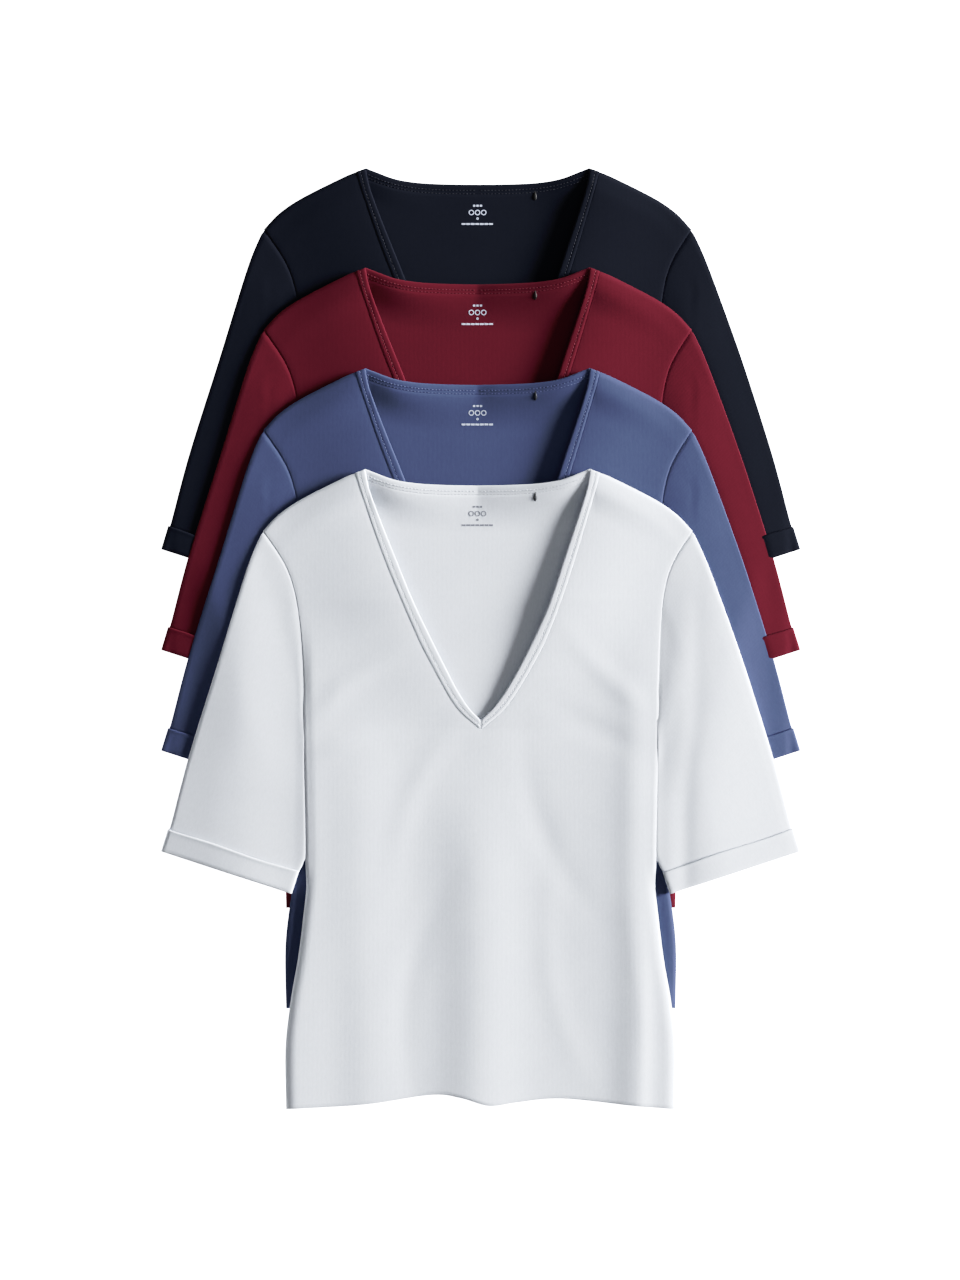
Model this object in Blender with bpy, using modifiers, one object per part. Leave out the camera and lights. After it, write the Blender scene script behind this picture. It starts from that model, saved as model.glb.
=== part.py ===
"""Four V-neck tees with turned-up elbow sleeves, laid flat on each other like shingles.

The stack lies on the plane z = 0. +Y runs from the hems to the necks, +X to the right as seen
from above, and the origin is the middle of the stack's footprint. Each tee has a front, a back,
two sleeves, two turned-up cuffs and a neck binding in two stretches, one on the front and one on
the back. Sizes are in millimetres and are turned to metres where a mesh is made.
"""

import math

import bmesh
import bpy
import numpy as np

MM = 0.001

# The stack, from the bottom tee up: name and cloth colour (linear)
TEES = (
    ("navy", (0.012, 0.014, 0.024)),
    ("burgundy", (0.120, 0.014, 0.026)),
    ("blue", (0.075, 0.100, 0.215)),
    ("white", (0.800, 0.810, 0.830)),
)
PITCH = 94.7        # each tee lies this much nearer the viewer than the one below it
TEE_RISE = 4.0      # height that each tee adds to the stack

# Cloth
WALL = 1.0          # thickness of a cloth wall
CUFF_WALL = 1.4     # a cuff is the sleeve end turned up on itself
BAND_WALL = 1.4     # the front binding is a folded strip
LAYER_GAP = 0.3     # between the two walls of a tee laid flat
SEAM_GAP = 0.4      # between two pieces that meet at a seam

# One tee, in its own frame: x from its centre line, y up from its hem, each curve on the +X side
BODY_LENGTH = 600.0
SIDE_SEAM = ((183, 0), (183.5, 58), (178.5, 102), (172, 139), (167, 177), (162.5, 224), (163, 290), (165, 366))
ARMHOLE = ((165, 366), (166.5, 420), (168.5, 455), (173, 488), (182, 514), (201, 543.5))
SHOULDER = ((114, 597.5), (127, 592), (165, 573), (186, 559), (201, 543.5))
ARM_LINE = ((201.5, 543.5), (213, 518), (227, 478.5), (252, 403), (275, 330), (291, 270), (293.5, 262.5))
UNDERARM = ((165.6, 366), (164.2, 300), (163.6, 245), (166.5, 232), (171.2, 222.8))
CUFF_OUTER = ((294.5, 262.5), (300.5, 243))
CUFF_INNER = ((171.2, 222.5), (177.5, 203.5))
NECK_EDGE = ((0, 365.5), (14, 381), (31, 411), (59, 471), (76.5, 516), (99.5, 576), (105.5, 600.5))
NECK_SEAM = ((0, 357.5), (23.6, 380.6), (49, 426), (62.5, 456), (86, 516), (107, 576.5), (113.5, 597.5))
BACK_NECK = ((0, 585.8), (30, 586.2), (57, 587.6), (78, 591), (96, 597.5), (105, 601))
BACK_SEAM = ((0, 577.8), (30, 578.2), (57, 579.8), (80, 584), (100, 590.8), (113, 597.4))

HEM_ARCH = 8.0      # the hem rises this much between its corners
LEAN = 3.0          # the shoulders sit this much to the left of the hem
NECK_BOW = 5.0      # the right neckline bows out this much at its middle

# Loft of the top layer over the bottom one
NECK_LIFT = (2.4, 4.6)              # how far the left and right of the neckline stand up
NECK_LIFT_REACH = 42.0              # how far from the neckline the cloth comes down again
SLEEVE_CROWN = 1.8
RIDGES = (                          # upper end, lower end, half-width and height
    ((0, 330), (-2, 0), 34, 3.0),
    ((-92, 390), (-98, 0), 26, 1.8),
    ((92, 380), (112, 0), 26, 1.8),
)
EDGE_FADE = 28.0    # loft dies away this near to a tee's edge
COVER_FADE = 24.0   # and this near to the tee that lies on it

# Mesh steps
FRONT_COLUMNS = 5                   # across half of a front, along its shoulder
NECK_COLUMNS = 4                    # across half of a back, along its neck
SHOULDER_COLUMNS = 2                # and along its shoulder
ARMHOLE_STEPS = 6
SLEEVE_ROWS = 6
ROW_HEIGHTS = (0.0, 48.0, PITCH, 150.0, 227.0, 3 * PITCH)      # rows of a body below its armholes

CUFF_SLOPE = (CUFF_OUTER[-1][1] - CUFF_INNER[-1][1]) / (CUFF_OUTER[-1][0] - CUFF_INNER[-1][0])
SLEEVE_REST = 245.0     # beyond this half-width a sleeve lies on nothing but other sleeves
STACK_LENGTH = (len(TEES) - 1) * PITCH + 601.0


def curve(points, fractions):
    """Points at the given fractions of the length of a smooth curve through a few points."""
    knots = np.array(points, float)
    knots = np.vstack([2 * knots[0] - knots[1], knots, 2 * knots[-1] - knots[-2]])
    fine = []
    for a, b, c, d in zip(knots, knots[1:], knots[2:], knots[3:]):
        for t in np.linspace(0.0, 1.0, 16, endpoint=False):
            fine.append(b + 0.5 * t * (c - a + t * (2 * a - 5 * b + 4 * c - d + t * (3 * b - a - 3 * c + d))))
    fine = np.array(fine + [knots[-2]])
    length = np.append(0.0, np.cumsum(np.linalg.norm(np.diff(fine, axis=0), axis=1)))
    where = np.asarray(fractions) * length[-1]
    return np.column_stack([np.interp(where, length, fine[:, axis]) for axis in (0, 1)])


def even(steps):
    return np.linspace(0.0, 1.0, steps + 1)


def smoothstep(value):
    value = np.clip(value, 0.0, 1.0)
    return value * value * (3 - 2 * value)


def patch(bottom, top, inner, outer):
    """Fill four boundary curves with a grid of points, rows from bottom to top."""
    u = even(len(bottom) - 1)[None, :, None]
    v = even(len(inner) - 1)[:, None, None]
    along = (1 - v) * bottom[None] + v * top[None]
    across = (1 - u) * inner[:, None] + u * outer[:, None]
    corners = (1 - v) * ((1 - u) * bottom[0] + u * bottom[-1]) + v * ((1 - u) * top[0] + u * top[-1])
    return along + across - corners


V_STEPS = even(ARMHOLE_STEPS) ** 1.15       # closer together near the point of the V
SIDE_LINE = curve(SIDE_SEAM, even(40))
SEAM_LINE = curve(NECK_SEAM, even(40))
TOP_LINE = np.vstack([curve(BACK_NECK, even(12)), curve(SHOULDER, even(12)), curve(ARM_LINE, even(20)),
                      curve(CUFF_OUTER, even(2))])


def place(plan, side):
    """Put points of the +X half on their own side of the tee, with its lean and neckline bow."""
    x, y = plan[..., 0], plan[..., 1]
    if side > 0:
        along = np.clip((y - NECK_EDGE[0][1]) / (BODY_LENGTH - NECK_EDGE[0][1]), 0.0, 1.0)
        near = np.clip((SHOULDER[-1][0] - x) / (SHOULDER[-1][0] - 60.0), 0.0, 1.0)
        x = x + NECK_BOW * np.sin(math.pi * along) * near * np.clip(x / 20.0, 0.0, 1.0)
    lean = LEAN * smoothstep((y - 400.0) / 150.0)
    return np.stack([side * x - lean, y], axis=-1)


def rest_height(level, spot):
    """Underside of a tee: flat on the tees below it, then down to the floor past their lower edges."""
    half_width, y = np.abs(spot[..., 0]), spot[..., 1]
    cuff_edge = CUFF_INNER[-1][1] + CUFF_SLOPE * (half_width - CUFF_INNER[-1][0])
    lowest = cuff_edge * np.clip((half_width - 184.0) / (SLEEVE_REST - 184.0), 0.0, 1.0)
    return TEE_RISE * np.clip((y - lowest) / PITCH, 0.0, level)


def uncovered(level, spot):
    """1 where a tee shows, down to 0 where the tee above it lies on it."""
    if level == len(TEES) - 1:
        return np.ones(spot.shape[:-1])
    top = np.interp(np.abs(spot[..., 0]), TOP_LINE[:, 0], TOP_LINE[:, 1])
    return smoothstep((spot[..., 1] + PITCH - top - 6.0) / COVER_FADE)


def body_loft(level, spot):
    """How far a front stands off its back: a raised neckline and the long soft folds."""
    x, y = spot[..., 0], spot[..., 1]
    seam_x = np.interp(y, SEAM_LINE[:, 1], SEAM_LINE[:, 0])
    tip = NECK_SEAM[0][1]
    away = np.hypot(np.clip(np.abs(x) - seam_x, 0.0, None), np.clip(tip - y, 0.0, None))
    along = np.clip((y - tip) / (BODY_LENGTH - tip), 0.0, 1.0)
    rise = np.interp(along, (0.0, 0.45, 0.85, 1.0), (0.3, 1.0, 1.0, 0.0))
    lift = NECK_LIFT[0] + (NECK_LIFT[1] - NECK_LIFT[0]) * smoothstep(x / 40.0 + 0.5)
    loft = lift * rise * np.exp(-(away / NECK_LIFT_REACH) ** 2)
    for upper, lower, half_width, height in RIDGES:
        t = np.clip((upper[1] - y) / (upper[1] - lower[1]), 0.0, 1.0)
        crest = upper[0] + t * (lower[0] - upper[0])
        loft = loft + height * smoothstep(2.5 * t) * np.exp(-((x - crest) / half_width) ** 2)
    edge_x = np.interp(y, SIDE_LINE[:, 1], SIDE_LINE[:, 0])
    top = np.interp(np.abs(x), TOP_LINE[:, 0], TOP_LINE[:, 1])
    fade = smoothstep((edge_x - np.abs(x)) / EDGE_FADE) * smoothstep((top - y) / EDGE_FADE)
    return loft * fade * uncovered(level, spot)


def in_stack(level, spot, height):
    """From a tee's own frame to metres in the stack's frame."""
    x = spot[..., 0]
    y = spot[..., 1] + (len(TEES) - 1 - level) * PITCH - STACK_LENGTH / 2
    return np.stack([x, y, rest_height(level, spot) + height], axis=-1) * MM


def add_grid(mesh, points):
    """A grid of faces through rows of points."""
    rows, columns = points.shape[:2]
    grid = bmesh.ops.create_grid(mesh, x_segments=columns - 1, y_segments=rows - 1, size=1.0)
    for vertex, point in zip(grid["verts"], points.reshape(-1, 3)):
        vertex.co = point


def cloth(name, colour, grids, wall, collection):
    """One piece of cloth: grids of points, welded where they meet and given the cloth's thickness."""
    mesh = bmesh.new()
    for points in grids:
        add_grid(mesh, points)
    bmesh.ops.remove_doubles(mesh, verts=mesh.verts, dist=0.01 * MM)
    bmesh.ops.recalc_face_normals(mesh, faces=mesh.faces)
    data = bpy.data.meshes.new(name)
    mesh.to_mesh(data)
    mesh.free()
    data.materials.append(colour)
    piece = bpy.data.objects.new(name, data)
    collection.objects.link(piece)
    thickness = piece.modifiers.new("Cloth thickness", "SOLIDIFY")
    thickness.thickness = wall * MM
    thickness.offset = 0.0
    thickness.use_even_offset = True
    return piece


def half_body(top, centre):
    """Plan of half a body, rows from the hem up, below the given top and beside the centre line."""
    u = even(len(top) - 1)
    rows = []
    for height in ROW_HEIGHTS:
        x = u * np.interp(height, SIDE_LINE[:, 1], SIDE_LINE[:, 0])
        rows.append(np.column_stack([x, np.full_like(x, height)]))
    rows[0][:, 1] = HEM_ARCH * np.sin(math.pi * np.clip(u * 1.25 - 0.1, 0.0, 1.0)) + 3.0 * (1 - u) ** 4
    armhole = curve(ARMHOLE, even(ARMHOLE_STEPS))
    armpit_line = centre[0] + u[:, None] * (armhole[0] - centre[0])
    return np.vstack([np.array(rows), patch(armpit_line, top, centre, armhole)])


def front_plan():
    return half_body(curve(SHOULDER, even(FRONT_COLUMNS)), curve(NECK_SEAM, V_STEPS))


def back_plan():
    neck = curve(BACK_SEAM, even(NECK_COLUMNS)) - (0.0, SEAM_GAP)
    shoulder = curve(SHOULDER, even(SHOULDER_COLUMNS))
    tip = np.array(NECK_SEAM[0], float)
    centre = tip + even(ARMHOLE_STEPS)[:, None] * (neck[0] - tip)
    return half_body(np.vstack([neck, shoulder[1:]]), centre)


def make_front(level, name, colour, collection):
    plan = front_plan()
    grids = []
    for side in (-1, 1):
        spot = place(plan, side)
        height = 1.5 * WALL + LAYER_GAP + body_loft(level, spot)
        grids.append(in_stack(level, spot, height))
    return cloth(name + "_front", colour, grids, WALL, collection)


def make_back(level, name, colour, collection):
    grids = [in_stack(level, place(back_plan(), side), WALL / 2) for side in (-1, 1)]
    return cloth(name + "_back", colour, grids, WALL, collection)


def pressed_tube(level, plan, wall, crown):
    """A tube pressed flat: over the top, round the outer fold, back underneath, round the inner one."""
    radius = (wall + LAYER_GAP) / 2
    across = plan[:, -1] - plan[:, 0]
    across = across / np.linalg.norm(across, axis=1)[:, None]
    along = np.gradient(plan[:, 0], axis=0)
    inward = np.column_stack([along[:, 1], -along[:, 0]])
    inward *= (np.sign((inward * across).sum(axis=1)) / np.linalg.norm(inward, axis=1))[:, None]
    plan = plan.copy()
    plan[:, 0] += inward * (radius + wall / 2)
    plan[:, -1] -= across * (radius + wall / 2)
    folds = [(plan[:, 0] - radius * inward)[:, None], (plan[:, -1] + radius * across)[:, None]]
    middle = np.full(plan.shape[:2], wall + LAYER_GAP / 2)
    flat = np.full((len(plan), 1), wall + LAYER_GAP / 2)
    spots = np.hstack([plan, folds[1], plan[:, ::-1], folds[0], plan[:, :1]])
    heights = np.hstack([middle + radius + crown, flat, middle - radius, flat,
                         middle[:, :1] + radius + crown[:, :1]])
    return in_stack(level, spots, heights)


def sleeve_plan():
    """Plan of the +X sleeve, rows from the cuff seam up to the armhole."""
    top = curve(ARMHOLE, even(ARMHOLE_STEPS)) + (SEAM_GAP, 0.0)
    inner = curve(UNDERARM, even(SLEEVE_ROWS))[::-1]
    outer = curve(ARM_LINE, even(SLEEVE_ROWS))[::-1]
    inner[-1], outer[-1] = top[0], top[-1]
    bottom = inner[0] + even(ARMHOLE_STEPS)[:, None] * (outer[0] - inner[0])
    return patch(bottom, top, inner, outer)


def make_sleeve(level, side, name, colour, collection):
    spot = place(sleeve_plan(), side)
    u = even(ARMHOLE_STEPS)[None, :]
    v = even(SLEEVE_ROWS)[:, None]
    crown = SLEEVE_CROWN * np.sin(math.pi * u) * np.sin(math.pi * np.clip(v * 1.1, 0.0, 1.0))
    crown = crown * uncovered(level, spot)
    tube = pressed_tube(level, spot, WALL, crown)
    hand = "left" if side < 0 else "right"
    return cloth(name + "_sleeve_" + hand, colour, [tube], WALL, collection)


def make_cuff(level, side, name, colour, collection):
    rows = [np.array(inner) + even(ARMHOLE_STEPS)[:, None] * (np.array(outer) - np.array(inner))
            for inner, outer in zip(CUFF_INNER, CUFF_OUTER)]
    plan = np.array(rows[::-1])
    plan[-1, :, 1] -= SEAM_GAP
    tube = pressed_tube(level, place(plan, side), CUFF_WALL, np.zeros(plan.shape[:2]))
    hand = "left" if side < 0 else "right"
    return cloth(name + "_cuff_" + hand, colour, [tube], CUFF_WALL, collection)


def make_front_binding(level, name, colour, collection):
    """The folded strip round the V, its two legs welded at the point."""
    grids = []
    for side in (-1, 1):
        plan = np.stack([curve(NECK_EDGE, V_STEPS), curve(NECK_SEAM, V_STEPS)], axis=1)
        plan[:, 1, 0] -= SEAM_GAP * np.minimum(1.0, 10 * V_STEPS)
        plan[0, 1, 1] += 2 * SEAM_GAP
        spot = place(plan, side)
        height = WALL + LAYER_GAP + BAND_WALL / 2 + body_loft(level, spot)
        grids.append(in_stack(level, spot, height))
    return cloth(name + "_neck_binding_front", colour, grids, BAND_WALL, collection)


def make_back_binding(level, name, colour, collection):
    """The same strip across the back neck, which shows inside the V."""
    plan = np.stack([curve(line, even(NECK_COLUMNS)) for line in (BACK_SEAM, BACK_NECK)])
    grids = [in_stack(level, place(plan, side), WALL / 2) for side in (-1, 1)]
    return cloth(name + "_neck_binding_back", colour, grids, WALL, collection)


def jersey(name, colour):
    material = bpy.data.materials.new(name + " cotton jersey")
    material.use_nodes = True
    shader = material.node_tree.nodes["Principled BSDF"]
    shader.inputs["Base Color"].default_value = (*colour, 1.0)
    shader.inputs["Roughness"].default_value = 0.85
    shader.inputs["Metallic"].default_value = 0.0
    return material


def main():
    for leftover in list(bpy.data.objects):
        bpy.data.objects.remove(leftover, do_unlink=True)
    collection = bpy.data.collections.new("Stack of V-neck tees")
    bpy.context.scene.collection.children.link(collection)
    for level, (name, tint) in enumerate(TEES):
        colour = jersey(name, tint)
        make_back(level, name, colour, collection)
        make_back_binding(level, name, colour, collection)
        make_front(level, name, colour, collection)
        make_front_binding(level, name, colour, collection)
        for side in (-1, 1):
            make_sleeve(level, side, name, colour, collection)
            make_cuff(level, side, name, colour, collection)


main()
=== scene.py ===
"""A stack of four V-neck tees, laid flat on each other like shingles, sewn up piece by piece.

Each tee has a front, a back, two sleeves, two turned-up cuffs and a neck binding in two stretches,
then its stitching, a dark drop-shaped mark and a small print inside the neck. Every point is worked out in
a tee's own frame, in millimetres: x from its centre line and y up from its hem. in_stack() then lays
it on the tees below.
"""

import math

import bpy
import numpy as np
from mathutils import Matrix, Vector


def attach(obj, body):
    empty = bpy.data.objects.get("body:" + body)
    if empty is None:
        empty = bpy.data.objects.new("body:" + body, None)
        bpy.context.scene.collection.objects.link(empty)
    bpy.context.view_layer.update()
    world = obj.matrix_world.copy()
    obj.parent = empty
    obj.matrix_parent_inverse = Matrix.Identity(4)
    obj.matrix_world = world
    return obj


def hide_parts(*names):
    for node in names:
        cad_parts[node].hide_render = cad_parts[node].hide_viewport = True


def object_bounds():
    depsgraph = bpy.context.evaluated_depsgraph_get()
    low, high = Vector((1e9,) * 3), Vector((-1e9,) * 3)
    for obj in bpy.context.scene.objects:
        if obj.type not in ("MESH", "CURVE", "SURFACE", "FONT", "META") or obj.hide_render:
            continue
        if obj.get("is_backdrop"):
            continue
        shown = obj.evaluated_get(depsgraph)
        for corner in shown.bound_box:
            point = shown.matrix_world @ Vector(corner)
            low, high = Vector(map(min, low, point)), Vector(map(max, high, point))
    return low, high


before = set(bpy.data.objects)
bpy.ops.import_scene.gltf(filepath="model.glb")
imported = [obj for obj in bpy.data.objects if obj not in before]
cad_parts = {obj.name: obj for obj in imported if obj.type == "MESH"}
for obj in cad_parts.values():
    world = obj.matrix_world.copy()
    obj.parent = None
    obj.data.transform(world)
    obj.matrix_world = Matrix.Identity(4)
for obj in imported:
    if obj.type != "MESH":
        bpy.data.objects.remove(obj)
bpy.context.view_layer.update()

bl_info = {
    "name": "Stack of V-neck tees",
    "version": (1, 0, 0),
    "blender": (4, 5, 0),
    "location": "View3D > Sidebar > Tees",
    "description": "Sews and stacks four flat-laid V-neck tees",
    "category": "Add Mesh",
}

MM = 0.001
BODY = "root"
TEES = ("navy", "burgundy", "blue", "white")      # from the bottom of the stack up
TOP_TEE = len(TEES) - 1
SIDES = (-1, 1)                                   # left and right

# Sizes shared with the CAD solids
PITCH = 94.7                # each tee is set this far towards its hem from the one under it
TEE_RISE = 4.0              # height that each tee adds to the stack
SEAM_GAP = 0.4              # between two pieces that meet at a seam
BODY_LENGTH = 600.0         # hem to shoulder point
TEE_LENGTH = 601.0          # hem to the highest point of the neck
STACK_LENGTH = TOP_TEE * PITCH + TEE_LENGTH
SIDE_SEAM = ((183, 0), (183.5, 58), (178.5, 102), (172, 139), (167, 177), (162.5, 224), (163, 290),
             (165, 366))
ARMHOLE = ((165, 366), (166.5, 420), (168.5, 455), (173, 488), (182, 514), (201, 543.5))
SHOULDER = ((114, 597.5), (127, 592), (165, 573), (186, 559), (201, 543.5))
ARM_LINE = ((201.5, 543.5), (213, 518), (227, 478.5), (252, 403), (275, 330), (291, 270), (293.5, 262.5))
UNDERARM = ((165.6, 366), (164.2, 300), (163.6, 245), (166.5, 232), (171.2, 222.8))
CUFF_OUTER = ((294.5, 262.5), (300.5, 243))
CUFF_INNER = ((171.2, 222.5), (177.5, 203.5))
NECK_EDGE = ((0, 365.5), (14, 381), (31, 411), (59, 471), (76.5, 516), (99.5, 576), (105.5, 600.5))
NECK_SEAM = ((0, 357.5), (23.6, 380.6), (49, 426), (62.5, 456), (86, 516), (107, 576.5), (113.5, 597.5))
BACK_NECK = ((0, 585.8), (30, 586.2), (57, 587.6), (78, 591), (96, 597.5), (105, 601))
BACK_SEAM = ((0, 577.8), (30, 578.2), (57, 579.8), (80, 584), (100, 590.8), (113, 597.4))
LEAN = 3.0                  # the shoulders sit this much to the left of the hem
NECK_BOW = 5.0              # the right neckline bows out this much at its middle
SLEEVE_REST = 245.0         # beyond this half-width a sleeve lies on nothing but other sleeves
CUFF_SLOPE = (CUFF_OUTER[-1][1] - CUFF_INNER[-1][1]) / (CUFF_OUTER[-1][0] - CUFF_INNER[-1][0])
ARMPIT = SIDE_SEAM[-1][1]   # height of the armpits over the hem
CUFF_LEVEL = 205.0          # the inner ends of the cuffs are about this far above the hem
CLOTH = 0.9 * MM            # thickness of the jersey
CUFF_CLOTH = 1.3 * MM       # and of a cuff, where it is turned up

# How the cloth lies
HEM_LINE = ((-183, 0), (-110, 4.5), (-46, 13.5), (-18, 10.5), (8, 3.4), (34, 6.5), (75, 10), (137, 4),
            (183, 0))
ARMHOLE_TUCK = 0.9          # a sleeve runs this far in under the front at the armhole
BACK_HEIGHT = 0.5           # middle of the back's cloth over what the tee lies on
FRONT_HEIGHT = 1.9          # and of the front's, before any fold lifts it
SIDE_CLOSE = 5.0            # the two layers come together this near to a side seam
NECK_REACH = 78.0           # the raised neckline comes down over this distance
NECK_INNER_REACH = 75.0     # and a tee lying over it comes down into the V over this one
OUTER_FALL = 0.085          # slope of a sleeve's outer third
EDGE_FADE = 34.0            # folds die away this near to the outline
NECK_FADE = 22.0            # the raised neckline comes down this near to a shoulder seam
SHOULDER_SHARE = 0.6        # how much of its lift the seam itself keeps
SIDE_ROLL = {-1: (9.0, 1.6), 1: (8.0, 1.3)}     # a body rolls over to its side seams: how wide and high
COVER_FADE = 44.0           # and this far in under the tee above
# Long soft folds down a front: upper end, lower end, half-width left and right of the crest, height
RIDGES = (
    ((-3, 338), (-3, -30), 33, 36, 3.9),
    ((-108, 430), (-106, -30), 26, 32, 1.9),
    ((154, 470), (147, -30), 21, 12, 2.3),
)
# Short drag lines at the armpits and under the V: centre, direction in degrees, length, half-width, height
DRAGS = (
    ((-128, 398), 38, 60, 11, 0.9),
    ((-140, 340), 20, 46, 10, 0.7),
    ((132, 396), 142, 62, 11, 0.9),
    ((118, 352), 158, 50, 12, -0.7),
    ((-62, 300), 66, 70, 12, 0.7),
    ((58, 262), 112, 80, 13, -0.7),
    ((-70, 110), 82, 90, 12, -0.5),
    ((66, 120), 100, 90, 12, 0.5),
)

# Seams, thread, print and the dark drop mark
GROOVE_WIDTH = 2.4          # how far a seam's groove spreads
ARMHOLE_GROOVE = 0.22       # depth of the soft groove along an armhole seam
NECK_GROOVE = 0.12          # and of the one along a front's neck seam
BINDING_PROUD = 0.3         # a front binding stands this far above its front
BAND_STITCH_LINE = 0.60     # across the neck binding, from its free edge to its seam
THREAD_RADIUS = 0.34 * MM   # thicker than real thread, so that the stitches show
DARK_DROP_PLACE = (51.0, 576.0)
PRINT_HEIGHT = 0.62         # top of the print over the middle of the back's cloth
PRINT_FILM = 0.1            # and its thickness
PRINT_DROP = (19.6, 26.0, 31.7, 36.8)     # rows of the print, below the back neckline

# The stage, in metres
FLOOR_REACH = 40.0
FLOOR_GAP = 0.0003          # the floor lies this far below the stack
STAGE_GLOW = 1.8            # light that the floor and the backdrop give off, so that they read as white
WORLD_GLOW = 0.17
# Lamps: azimuth and elevation in degrees, strength, and how wide each one looks in degrees
LAMPS = {"low key": (12, 15, 9.8, 18), "overhead": (60, 72, 0.12, 60)}
VIEW_HEIGHT = 1.2058        # what the frame's long side takes in
# A print-like response: dark cloth keeps its depth, pale cloth its shape
TONE = ((0.01, 0.0035), (0.02, 0.0115), (0.035, 0.025), (0.06, 0.051), (0.09, 0.086), (0.13, 0.15),
        (0.2, 0.25), (0.35, 0.44), (0.55, 0.62), (0.8, 0.765), (1.2, 0.90))
TONE_END = (2.2, 1.1)


def linear(hex_colour):
    """Turn an sRGB hex colour into the linear values that shaders take."""
    values = [int(hex_colour[i:i + 2], 16) / 255.0 for i in (1, 3, 5)]
    return tuple(v / 12.92 if v <= 0.04045 else ((v + 0.055) / 1.055) ** 2.4 for v in values)


# ---- settings


def size(name, description, default, low, high):
    return bpy.props.FloatProperty(name=name, description=description, default=default, min=low, max=high,
                                   unit="LENGTH", subtype="DISTANCE")


def cloth_colour(name, where, hex_colour):
    return bpy.props.FloatVectorProperty(name=name, description=f"Cloth of the {where} tee",
                                         subtype="COLOR", size=3, min=0, max=1, default=linear(hex_colour))


class TeeStackSettings(bpy.types.PropertyGroup):
    """Sizes of the cloth and its folds."""

    cloth: size("Cloth", "Thickness of the jersey", CLOTH, 0.0005, 0.003)
    neck_left: size("Left neckline", "How far the left of the neckline stands up", 6.5 * MM, 0.0, 0.012)
    neck_right: size("Right neckline", "How far the right of the neckline stands up", 8.8 * MM, 0.0, 0.014)
    folds: bpy.props.FloatProperty(
        name="Folds", description="Strength of the long folds and drag lines", default=1.0,
        min=0.0, max=1.5)
    sleeve_crown: size("Sleeve crown", "How far a sleeve rounds up between its folds", 4.8 * MM, 0.0, 0.008)
    stitch_pitch: size("Stitch pitch", "Distance from one stitch to the next", 3.2 * MM, 0.002, 0.006)


class TeeColourSettings(bpy.types.PropertyGroup):
    """Cloth colours, from the bottom tee up."""

    navy: cloth_colour("Navy", "bottom", "#1B1E28")
    burgundy: cloth_colour("Burgundy", "second", "#5E1F2D")
    blue: cloth_colour("Blue", "third", "#4D5571")
    white: cloth_colour("White", "top", "#DDE1E8")


def settings():
    return bpy.context.scene.tee_stack


def colours():
    return bpy.context.scene.tee_colours


# ---- lines of a tee


def curve(points, fractions):
    """Points at the given fractions of the length of a smooth curve through a few points."""
    knots = np.array(points, float)
    knots = np.vstack([2 * knots[0] - knots[1], knots, 2 * knots[-1] - knots[-2]])
    t = np.linspace(0.0, 1.0, 16, endpoint=False)[:, None]
    fine = []
    for a, b, c, d in zip(knots, knots[1:], knots[2:], knots[3:]):
        fine.append(b + 0.5 * t * (c - a + t * (2 * a - 5 * b + 4 * c - d + t * (3 * b - a - 3 * c + d))))
    fine = np.vstack(fine + [knots[-2][None]])
    length = np.append(0.0, np.cumsum(np.linalg.norm(np.diff(fine, axis=0), axis=1)))
    where = np.asarray(fractions) * length[-1]
    return np.column_stack([np.interp(where, length, fine[:, axis]) for axis in (0, 1)])


def even(steps):
    return np.linspace(0.0, 1.0, steps + 1)


def smoothstep(value):
    value = np.clip(value, 0.0, 1.0)
    return value * value * (3 - 2 * value)


def patch(bottom, top, inner, outer):
    """Fill four boundary curves with a grid of points, rows from bottom to top."""
    u = even(len(bottom) - 1)[None, :, None]
    v = even(len(inner) - 1)[:, None, None]
    along = (1 - v) * bottom[None] + v * top[None]
    across = (1 - u) * inner[:, None] + u * outer[:, None]
    corners = (1 - v) * ((1 - u) * bottom[0] + u * bottom[-1]) + v * ((1 - u) * top[0] + u * top[-1])
    return along + across - corners


SIDE_LINE = curve(SIDE_SEAM, even(80))
SEAM_LINE = curve(NECK_SEAM, even(120))
ARMHOLE_LINE = curve(ARMHOLE, even(60))
HEM = curve(HEM_LINE, even(120))
TOP_LINE = np.vstack([curve(BACK_NECK, even(24)), curve(SHOULDER, even(24)), curve(ARM_LINE, even(40)),
                      curve(CUFF_OUTER, even(4))])
TOP_SLOPE = np.abs(np.gradient(TOP_LINE[:, 1]) / np.maximum(np.gradient(TOP_LINE[:, 0]), 1e-3))


def top_of(x):
    """Height of the upper outline of a tee: its neck, shoulders and outer folds."""
    return np.interp(x, TOP_LINE[:, 0], TOP_LINE[:, 1])


def below_top(x, y):
    """Distance in from the upper outline."""
    slope = np.interp(x, TOP_LINE[:, 0], TOP_SLOPE)
    return (top_of(x) - y) / np.sqrt(1 + slope * slope)


def from_side_seam(x, y):
    """Distance in from the side seam."""
    return np.interp(y, SIDE_LINE[:, 1], SIDE_LINE[:, 0]) - x


def from_seam(plan, line):
    """Distance from a seam that runs up the tee."""
    x = np.interp(plan[..., 1], line[:, 1], line[:, 0])
    slope = np.interp(plan[..., 1], line[:, 1], np.gradient(line[:, 0]) / np.gradient(line[:, 1]))
    return np.abs(plan[..., 0] - x) / np.sqrt(1 + slope * slope)


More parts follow.
